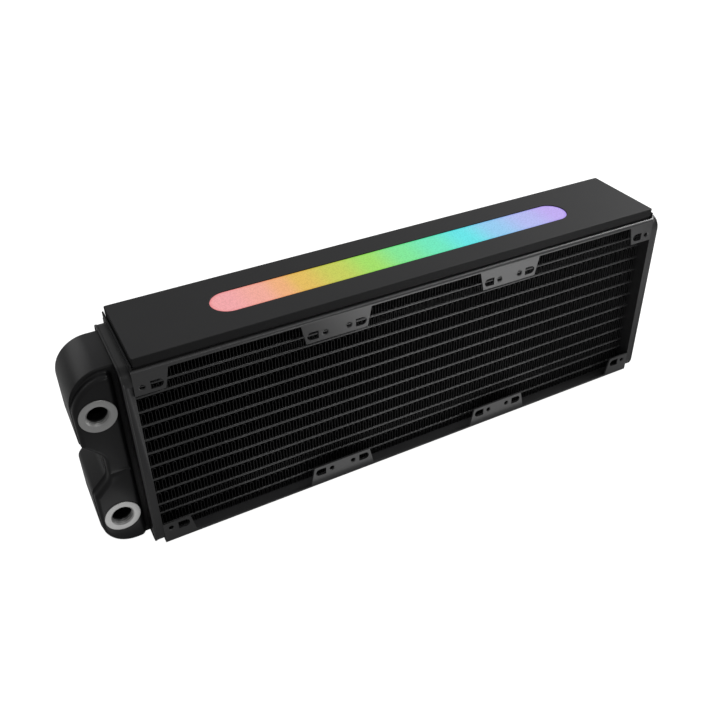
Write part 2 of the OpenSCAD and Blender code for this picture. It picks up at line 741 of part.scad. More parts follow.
upper_side_rail();
lower_side_rail();
port_header_plate();
return_header_plate();
port_tank_shell();
return_tank_shell();
tank_divider();
inlet_port_bush();
outlet_port_bush();
led_base_tray();
led_cover();
light_diffuser();
led_circuit_board();
led_lamps();
led_socket();
cover_screws();
board_screws();
tray_rivets();
for (i = [0:tube_count - 1]) flat_tube(i);
for (i = [0:fin_count - 1]) fin_strip(i);
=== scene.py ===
import math

import bmesh
import bpy
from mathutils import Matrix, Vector


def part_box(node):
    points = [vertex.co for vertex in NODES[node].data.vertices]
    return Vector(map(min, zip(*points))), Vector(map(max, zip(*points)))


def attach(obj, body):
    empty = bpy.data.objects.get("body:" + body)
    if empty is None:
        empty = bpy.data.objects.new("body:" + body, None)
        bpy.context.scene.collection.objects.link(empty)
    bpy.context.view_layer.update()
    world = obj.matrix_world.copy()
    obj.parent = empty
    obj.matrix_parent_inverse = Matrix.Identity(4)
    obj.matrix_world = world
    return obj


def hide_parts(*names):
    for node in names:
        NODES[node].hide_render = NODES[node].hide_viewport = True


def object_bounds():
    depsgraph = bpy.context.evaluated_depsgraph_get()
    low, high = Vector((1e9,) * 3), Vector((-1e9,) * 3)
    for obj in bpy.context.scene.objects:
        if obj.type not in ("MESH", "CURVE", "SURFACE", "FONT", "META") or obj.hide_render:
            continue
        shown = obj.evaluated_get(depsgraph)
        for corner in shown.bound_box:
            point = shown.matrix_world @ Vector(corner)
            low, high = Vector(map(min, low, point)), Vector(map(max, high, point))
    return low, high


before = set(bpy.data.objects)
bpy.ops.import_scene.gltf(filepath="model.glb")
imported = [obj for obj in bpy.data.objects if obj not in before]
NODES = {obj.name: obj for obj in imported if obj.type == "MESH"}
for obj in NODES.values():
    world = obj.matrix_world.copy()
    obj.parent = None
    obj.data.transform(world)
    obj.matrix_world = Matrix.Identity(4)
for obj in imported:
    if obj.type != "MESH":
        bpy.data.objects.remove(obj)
cad_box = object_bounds()

MM = 0.001
ROOT = "root"

# ------------------------------------------------------------ sizes read from the frame, in metres

rail_lo, rail_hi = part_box("upper_side_rail")
tank_lo, tank_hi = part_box("port_tank_shell")
port_rim_lo, port_rim_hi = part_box("port_header_plate")
return_rim_lo, return_rim_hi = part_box("return_header_plate")
return_lo, return_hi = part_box("return_tank_shell")
bush_lo, bush_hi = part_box("inlet_port_bush")
cover_lo, cover_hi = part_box("led_cover")
diffuser_lo, diffuser_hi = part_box("light_diffuser")
fin_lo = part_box("fin_strip_02")[0]

FRAME_X0, FRAME_X1 = rail_lo.x, rail_hi.x
FRAME_XC = (FRAME_X0 + FRAME_X1) / 2
FRAME_H = rail_hi.z
MID_Z = FRAME_H / 2
FRONT_Y = rail_lo.y
BACK_Y = rail_hi.y

# ------------------------------------------------------------ sizes that the boxes don't give

# Both end tanks, with the foot that seats each in its header plate
TANK_END_GAP = 1.5 * MM
TANK_RECESS = 8 * MM
TANK_WALL = 1.5 * MM
TANK_HALF_H = MID_Z - TANK_END_GAP
FOOT_DEPTH = 3.9 * MM
FOOT_CORNER_R = 7.75 * MM
FOOT_EDGE = 0.6 * MM
FOOT_HOLLOW_EDGE = 0.2 * MM

# Port tank: body, raised pad, waist between the ports and crease over the divider
TANK_CORNER_R = 20 * MM
SHOULDER = 1.0 * MM
BACK_FILLET = 3.0 * MM
INNER_GAP = 3.4 * MM
INNER_EDGE = 0.2 * MM
PAD_H = 6 * MM
PAD_INSET = 3 * MM
PAD_SIDE_INSET = 0.5 * MM
PAD_RIM_GAP = 3 * MM
PAD_INNER_R = 3 * MM
PAD_FILLET = 2.6 * MM
PAD_ROOT = 1.4 * MM
PAD_CORNER_FLAT = 0.28
WAIST_DEPTH = 10 * MM
WAIST_HALF_H = 4 * MM
WAIST_MOUTH_R = 6 * MM
WAIST_FLOOR_R = 8 * MM
CREASE_DEPTH = 0.7 * MM
CREASE_ABOVE = 3 * MM
CREASE_BELOW = 1.6 * MM

# Return tank and header plates
RETURN_CORNER_R = 7.5 * MM
RETURN_PAN_R = 5 * MM
HEADER_R = 9 * MM
LIP_W = 0.9 * MM
LIP_DEPTH = 0.3 * MM

# Port bushes with their G1/4 thread
COLLAR_H = 0.5 * MM
COLLAR_R = (bush_hi.x - bush_lo.x) / 2
COLLAR_EDGE = 0.18 * MM
BUSH_R = 8.5 * MM
BUSH_GAP = 0.05 * MM
PORT_HOLE_DEPTH = 4 * MM
PORT_MOUTH = 0.9 * MM
# Depth into the bore where the painted shade on the thread begins
BORE_SHADE_START = 2.4 * MM
THREAD_MINOR_R = 5.72 * MM
THREAD_MAJOR_R = 6.58 * MM
THREAD_PITCH = 1.337 * MM

# Core: the strips in the low rows against the rails have shorter waves
FIN_WAVE = 3.95 * MM
LOW_FIN_WAVE = 2.85 * MM
LOW_FIN_LIMIT = 6.5 * MM
FIN_SHEET = 0.18 * MM
TUBE_WALL = 0.3 * MM

# Lit cover with its diffuser
COVER_T = 1.2 * MM
COVER_R = 1 * MM
COVER_EDGE = 0.5 * MM
COVER_HOLE_R = 1.1 * MM
SMALL_GAP = 0.1 * MM
WINDOW_EDGE = 0.15 * MM
FLANGE_T = 1.2 * MM
PANEL_EDGE = 0.35 * MM
WINDOW_W = 22 * MM
WINDOW_LEN = diffuser_hi.x - diffuser_lo.x - (diffuser_hi.y - diffuser_lo.y) + WINDOW_W

# Places that follow from them
PAD_Y = FRONT_Y + TANK_RECESS
BODY_Y = PAD_Y + PAD_H
TANK_BACK_Y = BACK_Y - TANK_RECESS
PAD_X1 = port_rim_lo.x - PAD_RIM_GAP
INNER_X = tank_hi.x - INNER_GAP
PORT_X = (bush_lo.x + bush_hi.x) / 2
DIVIDER_Z = sum(corner.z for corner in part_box("tank_divider")) / 2
OVERSHOOT = 1 * MM
FILLET_STEPS = 5

# ------------------------------------------------------------ small helpers


def add_object(name, mesh):
    piece = bpy.data.objects.new(name, mesh)
    bpy.context.scene.collection.objects.link(piece)
    return piece


def mesh_object(name, points, faces, smooth_angle=35):
    """A mesh object with its faces turned outwards and its gentle edges shaded smooth."""
    mesh = bpy.data.meshes.new(name)
    mesh.from_pydata([tuple(p) for p in points], [], faces)
    bm = bmesh.new()
    bm.from_mesh(mesh)
    bmesh.ops.remove_doubles(bm, verts=bm.verts, dist=1e-7)
    bmesh.ops.recalc_face_normals(bm, faces=bm.faces)
    bm.to_mesh(mesh)
    bm.free()
    mesh.shade_smooth()
    mesh.set_sharp_from_angle(angle=math.radians(smooth_angle))
    return add_object(name, mesh)


def baked(piece):
    """Turns a piece with modifiers into a plain mesh."""
    graph = bpy.context.evaluated_depsgraph_get()
    mesh = bpy.data.meshes.new_from_object(piece.evaluated_get(graph), depsgraph=graph)
    piece.modifiers.clear()
    piece.data = mesh
    return piece


def smooth_by_angle(piece, angle):
    piece.data.shade_smooth()
    piece.data.set_sharp_from_angle(angle=math.radians(angle))


def cut(piece, tool, operation="DIFFERENCE"):
    """Cuts or joins a piece with a tool object, which is then removed."""
    boolean = piece.modifiers.new("cut", "BOOLEAN")
    boolean.operation = operation
    boolean.solver = "EXACT"
    boolean.object = tool
    baked(piece)
    bpy.data.objects.remove(tool)
    return piece


def finished(piece, material, slot, *nodes):
    """Gives a piece its material and its body, and hides the CAD nodes that it stands for; the slot is not
    used.
    """
    piece.data.materials.clear()
    piece.data.materials.append(material)
    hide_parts(*nodes)
    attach(piece, ROOT)
    return piece


def arc(cx, cz, radius, start, end, steps):
    """Points on an arc, angles in degrees, both ends included."""
    angles = [math.radians(start + (end - start) * i / steps) for i in range(steps + 1)]
    return [(cx + radius * math.cos(a), cz + radius * math.sin(a)) for a in angles]


def rounded_outline(width, height, radius, steps=8):
    """Closed outline of a centred rectangle with round corners."""
    w, h = width / 2 - radius, height / 2 - radius
    return (arc(w, h, radius, 0, 90, steps) + arc(-w, h, radius, 90, 180, steps)
            + arc(-w, -h, radius, 180, 270, steps) + arc(w, -h, radius, 270, 360, steps))


def loft(rings, close_start=True, close_end=True):
    """Points and faces of a skin through rings that all have the same number of points."""
    count = len(rings[0])
    points = [point for ring in rings for point in ring]
    faces = []
    for row in range(len(rings) - 1):
        for i in range(count):
            j = (i + 1) % count
            faces.append((row * count + i, row * count + j, (row + 1) * count + j, (row + 1) * count + i))
    if close_start:
        faces.append(tuple(range(count)))
    if close_end:
        faces.append(tuple(range((len(rings) - 1) * count, len(rings) * count)))
    return points, faces


def cad_copy(node):
    """A merged copy of a CAD node, to work on."""
    mesh = NODES[node].data.copy()
    bm = bmesh.new()
    bm.from_mesh(mesh)
    bmesh.ops.remove_doubles(bm, verts=bm.verts, dist=2e-6)
    bmesh.ops.dissolve_limit(bm, angle_limit=math.radians(0.5), verts=bm.verts, edges=bm.edges)
    bm.to_mesh(mesh)
    bm.free()
    return add_object(node + "_finish", mesh)


def soften(piece, width, min_edge=1.2 * MM):
    """Rounds over a piece's long sharp edges."""
    bm = bmesh.new()
    bm.from_mesh(piece.data)
    limit = math.radians(40)
    edges = [e for e in bm.edges
             if len(e.link_faces) == 2 and e.calc_face_angle(0) > limit and e.calc_length() > min_edge]
    bmesh.ops.bevel(bm, geom=edges, offset=width, offset_type="OFFSET", segments=2, profile=0.5,
                    affect="EDGES", clamp_overlap=True)
    bm.to_mesh(piece.data)
    bm.free()
    smooth_by_angle(piece, 50)
    piece.modifiers.new("flat_faces", "WEIGHTED_NORMAL").keep_sharp = True
    return baked(piece)


# ------------------------------------------------------------ materials


def new_material(name):
    material = bpy.data.materials.new(name)
    material.use_nodes = True
    nodes = material.node_tree.nodes
    return material, nodes, material.node_tree.links, nodes["Principled BSDF"]


def object_noise(nodes, links, size, detail=3.0):
    """A noise of about the given grain size in metres, on the object's own coordinates."""
    place = nodes.new("ShaderNodeTexCoord")
    mapping = nodes.new("ShaderNodeMapping")
    mapping.inputs["Scale"].default_value = (1 / size, 1 / size, 1 / size)
    noise = nodes.new("ShaderNodeTexNoise")
    noise.inputs["Scale"].default_value = 1.0
    noise.inputs["Detail"].default_value = detail
    noise.inputs["Roughness"].default_value = 0.55
    links.new(place.outputs["Object"], mapping.inputs["Vector"])
    links.new(mapping.outputs["Vector"], noise.inputs["Vector"])
    return noise.outputs["Fac"]


def spread(nodes, links, source, low, high):
    """Maps a 0..1 value to low..high."""
    ramp = nodes.new("ShaderNodeMapRange")
    ramp.inputs["From Min"].default_value = 0.3
    ramp.inputs["From Max"].default_value = 0.7
    ramp.inputs["To Min"].default_value = low
    ramp.inputs["To Max"].default_value = high
    links.new(source, ramp.inputs["Value"])
    return ramp.outputs["Result"]


def tinted(nodes, links, source, dark, light):
    """Mixes two colours by a 0..1 value."""
    mix = nodes.new("ShaderNodeMix")
    mix.data_type = "RGBA"
    mix.inputs["A"].default_value = (*dark, 1)
    mix.inputs["B"].default_value = (*light, 1)
    links.new(source, mix.inputs["Factor"])
    return mix.outputs["Result"]


def bumped(nodes, links, source, shader, strength, depth):
    bump = nodes.new("ShaderNodeBump")
    bump.inputs["Strength"].default_value = strength
    bump.inputs["Distance"].default_value = depth
    links.new(source, bump.inputs["Height"])
    links.new(bump.outputs["Normal"], shader.inputs["Normal"])


def coated_metal(name, dark, light, roughness, grain=0.35 * MM, depth=0.02 * MM, specular=0.5):
    """Powder coat: a fine orange-peel grain, soft mottling and slightly uneven gloss."""
    material, nodes, links, shader = new_material(name)
    grain_noise = object_noise(nodes, links, grain, detail=2.0)
    cloud_noise = object_noise(nodes, links, 22 * MM, detail=4.0)
    links.new(tinted(nodes, links, cloud_noise, dark, light), shader.inputs["Base Color"])
    links.new(spread(nodes, links, grain_noise, roughness - 0.05, roughness + 0.05),
              shader.inputs["Roughness"])
    shader.inputs["Specular IOR Level"].default_value = specular
    bumped(nodes, links, grain_noise, shader, 0.35, depth)
    return material


def plated_metal(name, dark, light, roughness):
    """Bare or plated metal with a fine grain and soft stains."""
    material, nodes, links, shader = new_material(name)
    marks = object_noise(nodes, links, 0.25 * MM)
    clouds = object_noise(nodes, links, 3 * MM)
    links.new(tinted(nodes, links, clouds, dark, light), shader.inputs["Base Color"])
    links.new(spread(nodes, links, marks, roughness - 0.07, roughness + 0.07), shader.inputs["Roughness"])
    shader.inputs["Metallic"].default_value = 1.0
    bumped(nodes, links, marks, shader, 0.25, 0.01 * MM)
    return material


def port_plating():
    """Bright nickel on the collar and the mouth of the bore; deeper in, painted shade darkens the thread to
    near black.
    """
    material, nodes, links, shader = new_material("port_nickel_bore_shade")
    place = nodes.new("ShaderNodeTexCoord")
    axes = nodes.new("ShaderNodeSeparateXYZ")
    # Painted shade: past the lit mouth the bore fades to near black with depth, standing in for the shadow
    # inside it
    depth = nodes.new("ShaderNodeMapRange")
    depth.interpolation_type = "SMOOTHSTEP"
    depth.inputs["From Min"].default_value = bush_lo.y + BORE_SHADE_START
    depth.inputs["From Max"].default_value = bush_lo.y + 2.2 * BORE_SHADE_START
    links.new(place.outputs["Object"], axes.inputs["Vector"])
    links.new(axes.outputs["Y"], depth.inputs["Value"])
    grain = object_noise(nodes, links, 0.5 * MM, detail=4.0)
    mix = nodes.new("ShaderNodeMix")
    mix.data_type = "RGBA"
    mix.inputs["B"].default_value = (0.006, 0.006, 0.006, 1)
    links.new(depth.outputs["Result"], mix.inputs["Factor"])
    links.new(tinted(nodes, links, grain, (0.40, 0.40, 0.40), (0.62, 0.62, 0.61)), mix.inputs["A"])
    links.new(mix.outputs["Result"], shader.inputs["Base Color"])
    links.new(spread(nodes, links, grain, 0.36, 0.48), shader.inputs["Roughness"])
    shader.inputs["Metallic"].default_value = 1.0
    bumped(nodes, links, grain, shader, 0.5, 0.05 * MM)
    return material


def moulded_plastic(name, dark, light, roughness):
    material, nodes, links, shader = new_material(name)
    grain = object_noise(nodes, links, 0.5 * MM, detail=2.0)
    links.new(tinted(nodes, links, grain, dark, light), shader.inputs["Base Color"])
    links.new(spread(nodes, links, grain, roughness - 0.04, roughness + 0.04), shader.inputs["Roughness"])
    bumped(nodes, links, grain, shader, 0.2, 0.01 * MM)
    return material


# Colours along the lit window, from its port end, as fractions of its length
RAINBOW = [(0.05, (0.87, 0.37, 0.38)), (0.13, (0.87, 0.39, 0.31)), (0.18, (0.86, 0.42, 0.19)),
           (0.23, (0.76, 0.49, 0.09)), (0.32, (0.55, 0.60, 0.08)), (0.41, (0.34, 0.72, 0.11)),
           (0.50, (0.19, 0.78, 0.29)), (0.59, (0.13, 0.79, 0.49)), (0.68, (0.10, 0.77, 0.79)),
           (0.77, (0.27, 0.58, 0.86)), (0.87, (0.43, 0.47, 0.86)), (0.96, (0.50, 0.38, 0.86))]


def lit_acrylic():
    """Milky acrylic lit from below: a rainbow along it, a fine prism grain and deeper colour at its rim."""
    material, nodes, links, shader = new_material("lit_milky_acrylic")
    place = nodes.new("ShaderNodeTexCoord")
    axes = nodes.new("ShaderNodeSeparateXYZ")
    along = nodes.new("ShaderNodeMapRange")
    along.inputs["From Min"].default_value = diffuser_lo.x
    along.inputs["From Max"].default_value = diffuser_hi.x
    ramp = nodes.new("ShaderNodeValToRGB")
    ramp.color_ramp.interpolation = "EASE"
    stops = ramp.color_ramp.elements
    while len(stops) < len(RAINBOW):
        stops.new(0.5)
    for stop, (position, colour) in zip(stops, RAINBOW):
        stop.position = position
        stop.color = (*colour, 1)
    links.new(place.outputs["Object"], axes.inputs["Vector"])
    links.new(axes.outputs["X"], along.inputs["Value"])
    links.new(along.outputs["Result"], ramp.inputs["Fac"])
    prism = nodes.new("ShaderNodeTexVoronoi")
    prism.inputs["Scale"].default_value = 1 / (0.9 * MM)
    links.new(place.outputs["Object"], prism.inputs["Vector"])
    rim = nodes.new("ShaderNodeAttribute")
    rim.attribute_name = "rim"
    deep = nodes.new("ShaderNodeGamma")
    deep.inputs["Gamma"].default_value = 1.35
    links.new(ramp.outputs["Color"], deep.inputs["Color"])
    mix = nodes.new("ShaderNodeMix")
    mix.data_type = "RGBA"
    links.new(rim.outputs["Fac"], mix.inputs["Factor"])
    links.new(ramp.outputs["Color"], mix.inputs["A"])
    links.new(deep.outputs["Color"], mix.inputs["B"])
    links.new(mix.outputs["Result"], shader.inputs["Emission Color"])
    links.new(spread(nodes, links, prism.outputs["Distance"], 1.04, 0.90), shader.inputs["Emission Strength"])
    links.new(tinted(nodes, links, prism.outputs["Distance"], (0.03, 0.03, 0.03), (0.02, 0.02, 0.02)),
              shader.inputs["Base Color"])
    shader.inputs["Roughness"].default_value = 0.5
    shader.inputs["Specular IOR Level"].default_value = 0.1
    bumped(nodes, links, prism.outputs["Distance"], shader, 0.3, 0.03 * MM)
    return material


def fin_paint():
    """Thin black paint on the fin sheet, louvres as fine upright ribs, and a painted highlight that makes the
    front edges paler.
    """
    material, nodes, links, shader = new_material("fin_black")
    place = nodes.new("ShaderNodeTexCoord")
    louvres = nodes.new("ShaderNodeTexWave")
    louvres.wave_type = "BANDS"
    louvres.bands_direction = "Y"
    louvres.inputs["Scale"].default_value = 1 / (20 * 0.9 * MM)
    louvres.inputs["Distortion"].default_value = 0.0
    links.new(place.outputs["Object"], louvres.inputs["Vector"])
    axes = nodes.new("ShaderNodeSeparateXYZ")
    # Painted highlight: the front edges of the sheet are paler, standing in for the front light they catch
    edge = nodes.new("ShaderNodeMapRange")
    edge.inputs["From Min"].default_value = fin_lo.y + 0.25 * MM
    edge.inputs["From Max"].default_value = fin_lo.y + 0.05 * MM
    mix = nodes.new("ShaderNodeMix")
    mix.data_type = "RGBA"
    mix.inputs["B"].default_value = (0.042, 0.042, 0.043, 1)
    links.new(place.outputs["Object"], axes.inputs["Vector"])
    links.new(axes.outputs["Y"], edge.inputs["Value"])
    links.new(edge.outputs["Result"], mix.inputs["Factor"])
    ribs = tinted(nodes, links, louvres.outputs["Fac"], (0.003, 0.003, 0.0032), (0.007, 0.007, 0.0075))
    links.new(ribs, mix.inputs["A"])
    links.new(mix.outputs["Result"], shader.inputs["Base Color"])
    shader.inputs["Roughness"].default_value = 0.5
    shader.inputs["Specular IOR Level"].default_value = 0.25
    bumped(nodes, links, louvres.outputs["Fac"], shader, 0.6, 0.12 * MM)
    return material


frame_black = coated_metal("frame_black", (0.030, 0.030, 0.031), (0.040, 0.040, 0.041), 0.36, specular=0.8)
# The header plates get a darker copy of the frame paint: painted shade for the rim top, which lies in the
# shadow of the cover's end
header_shaded_black = coated_metal("header_shaded_black", (0.018, 0.018, 0.019), (0.026, 0.026, 0.027), 0.38, specular=0.6)
tank_black = coated_metal("tank_black", (0.009, 0.009, 0.0095), (0.014, 0.014, 0.015), 0.34, grain=0.5 * MM,
                          specular=0.3)
tube_black = coated_metal("tube_black", (0.016, 0.016, 0.017), (0.024, 0.024, 0.025), 0.28, depth=0.002 * MM,
                          specular=1.0)
cover_grey = coated_metal("cover_grey", (0.0195, 0.0195, 0.020), (0.022, 0.022, 0.0225), 0.60,
                          grain=0.25 * MM, specular=0.10)
tray_black = coated_metal("tray_black", (0.010, 0.010, 0.011), (0.014, 0.014, 0.015), 0.5, specular=0.3)
fin_black = fin_paint()
port_nickel_bore_shade = port_plating()
bare_brass = plated_metal("bare_brass", (0.62, 0.44, 0.18), (0.72, 0.55, 0.26), 0.35)
rivet_aluminium = plated_metal("rivet_aluminium", (0.58, 0.58, 0.58), (0.70, 0.70, 0.70), 0.4)
screw_zinc = plated_metal("screw_zinc", (0.45, 0.46, 0.47), (0.60, 0.60, 0.60), 0.32)
screw_black = coated_metal("screw_black", (0.016, 0.016, 0.017), (0.024, 0.024, 0.025), 0.35, grain=0.2 * MM)
board_white = moulded_plastic("board_white", (0.70, 0.71, 0.69), (0.80, 0.80, 0.78), 0.35)
lamp_cap = moulded_plastic("lamp_cap", (0.75, 0.72, 0.50), (0.85, 0.82, 0.62), 0.25)
socket_nylon = moulded_plastic("socket_nylon", (0.68, 0.67, 0.62), (0.76, 0.75, 0.70), 0.5)
lit_window = lit_acrylic()

# ------------------------------------------------------------ port tank


def flattened(curve, share):
    """The curve with its points moved by the given share towards its chord."""
    (x0, z0), (x1, z1) = curve[0], curve[-1]
    last = len(curve) - 1
    return [(x + share * (x0 + (x1 - x0) * i / last - x), z + share * (z0 + (z1 - z0) * i / last - z))
            for i, (x, z) in enumerate(curve)]


def port_tank_outline(inset, inner_x, inner_r, flat=0):
    """The port tank's outline in X and Z, shrunk by inset, with its waist between the two ports; flat is the
    share by which the upper outer corner leans towards its chord."""
    corner = (tank_lo.x + TANK_CORNER_R, TANK_HALF_H - TANK_CORNER_R)
    floor = (tank_lo.x + WAIST_DEPTH - WAIST_FLOOR_R, WAIST_HALF_H)
    mouth_x = tank_lo.x + WAIST_MOUTH_R
    mouth_z = floor[0] + floor[1] + math.sqrt(2) * (WAIST_MOUTH_R + WAIST_FLOOR_R) - mouth_x
    start = arc(inner_x - inner_r, TANK_HALF_H - inset - inner_r, inner_r, 0, 90, 4)
    rounded = arc(*corner, TANK_CORNER_R - inset, 90, 180, 16)
    waist = (arc(mouth_x, mouth_z, WAIST_MOUTH_R - inset, 180, 225, 6)
             + arc(*floor, WAIST_FLOOR_R + inset, 45, 0, 6))
    upper = start + flattened(rounded, flat) + waist
    lower = start + rounded + waist
    return [(x, MID_Z + z) for x, z in upper] + [(x, MID_Z - z) for x, z in reversed(lower)]


def quarter_steps():
    return [math.radians(90 * i / FILLET_STEPS) for i in range(FILLET_STEPS + 1)]


def port_tank_skin(shrink):
    """Closed skin of the port tank: pad, rounded shoulder, body and back, all shrunk by a wall."""
    rings = []

    def ring(y, inset, side_inset, inner_x, inner_r, flat=0):
        shift = inset - side_inset
        outline = port_tank_outline(inset + shrink, inner_x + shift, inner_r, flat)
        rings.append([(x - shift, y, z) for x, z in outline])

    pad_y, body_y, back_y = PAD_Y + shrink, BODY_Y + shrink, TANK_BACK_Y - shrink
    pad_x1 = PAD_X1 - shrink
    fillet = PAD_FILLET - shrink
    for t in quarter_steps():
        extra = fillet * (1 - math.sin(t))
        ring(pad_y + fillet * (1 - math.cos(t)), PAD_INSET + extra, PAD_SIDE_INSET + extra, pad_x1 - extra,
             PAD_INNER_R - extra / 2, PAD_CORNER_FLAT)
    for t in quarter_steps():
        less = PAD_ROOT * (1 - math.cos(t))
        ring(body_y - PAD_ROOT * (1 - math.sin(t)), PAD_INSET - less, PAD_SIDE_INSET * (1 - less / PAD_ROOT),
             pad_x1 + less, PAD_INNER_R, PAD_CORNER_FLAT)
    for t in quarter_steps():
        ring(body_y + SHOULDER * (1 - math.cos(t)), SHOULDER * (1 - math.sin(t)), 0, INNER_X, INNER_EDGE)
    for t in quarter_steps():
        inset = BACK_FILLET * (1 - math.cos(t))
        ring(back_y - BACK_FILLET * (1 - math.sin(t)), inset, inset, INNER_X, INNER_EDGE)
    return loft(rings)


def foot_skin(x0, x1, width, height, radius, edge):
    """Skin of the shallow box that seats a tank in its header plate, from its outer face x0 to x1."""
    step = edge if x1 > x0 else -edge
    rings = []
    for x, inset in ((x0, edge), (x0 + step * 0.3, edge * 0.3), (x0 + step, 0), (x1, 0)):
        outline = rounded_outline(width - 2 * inset, height - 2 * inset, radius - inset)
        rings.append([(x, y, MID_Z + z) for y, z in outline])
    return loft(rings)


def port_cutter(centre_z):
    """Round tool that opens the pad for a bush."""
    steps = 64
    front = PAD_Y - OVERSHOOT
    outline = arc(PORT_X, centre_z, BUSH_R + BUSH_GAP, 0, 360 - 360 / steps, steps - 1)
    rings = [[(x, y, z) for x, z in outline] for y in (front, front + PORT_HOLE_DEPTH)]
    return mesh_object("hole", *loft(rings))


def make_port_tank():
    tank = mesh_object("port_tank_finish", *port_tank_skin(0))
    foot_w, foot_h = tank_hi.y - tank_lo.y, tank_hi.z - tank_lo.z
    foot_x0 = tank_hi.x - FOOT_DEPTH
    foot = mesh_object("foot", *foot_skin(foot_x0, tank_hi.x, foot_w, foot_h, FOOT_CORNER_R, FOOT_EDGE))
    cut(tank, foot, "UNION")
    cut(tank, mesh_object("hollow", *port_tank_skin(TANK_WALL)))
    inner = foot_skin(foot_x0 + TANK_WALL, tank_hi.x + OVERSHOOT, foot_w - 2 * TANK_WALL,
                      foot_h - 2 * TANK_WALL, FOOT_CORNER_R - TANK_WALL, FOOT_HOLLOW_EDGE)
    cut(tank, mesh_object("foot_hollow", *inner))
    for centre in port_centres():
        cut(tank, port_cutter(centre))
    section = [(-OVERSHOOT, CREASE_ABOVE), (0, CREASE_ABOVE), (0.2 * CREASE_DEPTH, 0.55 * CREASE_ABOVE),
               (0.7 * CREASE_DEPTH, 0.18 * CREASE_ABOVE), (CREASE_DEPTH, 0),
               (0.6 * CREASE_DEPTH, -0.5 * CREASE_BELOW), (0, -CREASE_BELOW), (-OVERSHOOT, -CREASE_BELOW)]
    crease = [[(x, PAD_Y + y, DIVIDER_Z + z) for y, z in section]
              for x in (tank_lo.x - OVERSHOOT, PAD_X1 + OVERSHOOT)]
    cut(tank, mesh_object("crease", *loft(crease)))
    smooth_by_angle(tank, 32)
    return finished(tank, tank_black, "tank_paint", "port_tank_shell")


def port_centres():
    return [sum(corner.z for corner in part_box(node)) / 2 for node in ("inlet_port_bush", "outlet_port_bush")]


def make_port_bush(node, centre_z):
    """Turned bush: a chamfered collar, a threaded bore and a plain barrel inside the tank."""
    lo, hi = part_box(node)
    front, back = lo.y, hi.y
    collar_back = front + COLLAR_H
    edge, mouth = COLLAR_EDGE, PORT_MOUTH
    outside = [(BUSH_R, back), (BUSH_R, collar_back), (COLLAR_R, collar_back), (COLLAR_R, front + edge),
               (COLLAR_R - edge, front), (THREAD_MINOR_R + mouth + edge, front),
               (THREAD_MINOR_R + mouth, front + 0.05 * MM)]
    depth = THREAD_MAJOR_R - THREAD_MINOR_R
    rows = 10 * int((back - front - mouth) / THREAD_PITCH)
    turns = 72
    points, faces = [], []
    count = len(outside) + rows + 1
    for i in range(turns):
        angle = 2 * math.pi * i / turns
        line = list(outside)
        for k in range(rows + 1):
            y = front + mouth + (back - front - mouth) * k / rows
            phase = ((y - front) / THREAD_PITCH - i / turns) % 1
            flank = min(1, max(0, 1.6 * (1 - abs(2 * phase - 1)) - 0.3))
            fade = min(1, k / 8, (rows - k) / 8)
            line.append((THREAD_MINOR_R + depth * flank * fade, y))
        points += [(PORT_X + r * math.cos(angle), y, centre_z + r * math.sin(angle)) for r, y in line]
    for i in range(turns):
        j = (i + 1) % turns
        for k in range(count):
            n = (k + 1) % count
            faces.append((i * count + k, j * count + k, j * count + n, i * count + n))
    bush = mesh_object(node + "_finish", points, faces, 28)
    return finished(bush, port_nickel_bore_shade, "nickel_plate", node)


# ------------------------------------------------------------ header plates


def make_header(node, plate_x, edge_x):
    """Dished plate whose rim is pressed in a little behind a raised lip at its free edge."""
    piece = cad_copy(node)
    lo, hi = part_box(node)
    toward = 1 if edge_x > plate_x else -1
    reach = 2 * MM
    stations = [(edge_x - toward * (LIP_W + LIP_DEPTH), LIP_DEPTH), (edge_x - toward * LIP_W, 0),
                (edge_x - toward * LIP_W, -reach), (plate_x - toward * reach, -reach),
                (plate_x - toward * reach, LIP_DEPTH)]
    rings = []
    for x, inset in stations + stations[:1]:
        outline = rounded_outline(hi.y - lo.y - 2 * inset, hi.z - lo.z - 2 * inset, HEADER_R - inset, 10)
        rings.append([(x, y, MID_Z + z) for y, z in outline])
    cut(piece, mesh_object("groove", *loft(rings, False, False)))
    soften(piece, 0.15 * MM, 0.3 * MM)
    return finished(piece, header_shaded_black, "header_paint", node)


# ------------------------------------------------------------ return tank


def make_return_tank():
    """Shallow pressed pan, rounded on all its outer edges."""
    x0 = return_rim_lo.x + FOOT_DEPTH
    front, back = FRONT_Y + TANK_RECESS, TANK_BACK_Y
    radius = RETURN_CORNER_R

    def pan(shrink, start_x):
        rings = [[(start_x, y, MID_Z + z) for y, z in rounded_outline(
            back - front - 2 * shrink, 2 * (TANK_HALF_H - shrink), RETURN_PAN_R - shrink)]]
        top = return_hi.x - shrink
        bend = radius - shrink
        for i in range(9):
            t = math.radians(90 * i / 8)
            inset = bend * (1 - math.cos(t))
            outline = rounded_outline(back - front - 2 * (shrink + inset), 2 * (TANK_HALF_H - shrink - inset),
                                      RETURN_PAN_R - shrink)
            rings.append([(top - bend * (1 - math.sin(t)), y, MID_Z + z) for y, z in outline])
        return loft(rings)

    tank = mesh_object("return_tank_finish", *pan(0, x0))
    foot_w, foot_h = return_hi.y - return_lo.y, return_hi.z - return_lo.z
    foot_x = return_lo.x + FOOT_DEPTH
    foot = mesh_object("foot", *foot_skin(foot_x, return_lo.x, foot_w, foot_h, FOOT_CORNER_R, FOOT_EDGE))
    cut(tank, foot, "UNION")
    cut(tank, mesh_object("hollow", *pan(TANK_WALL, x0 - 2 * MM)))
    inner = foot_skin(foot_x - TANK_WALL, return_lo.x - OVERSHOOT, foot_w - 2 * TANK_WALL,
                      foot_h - 2 * TANK_WALL, FOOT_CORNER_R - TANK_WALL, FOOT_HOLLOW_EDGE)
    cut(tank, mesh_object("foot_hollow", *inner))
    smooth_by_angle(tank, 32)
    return finished(tank, tank_black, "tank_paint", "return_tank_shell")


# ------------------------------------------------------------ core


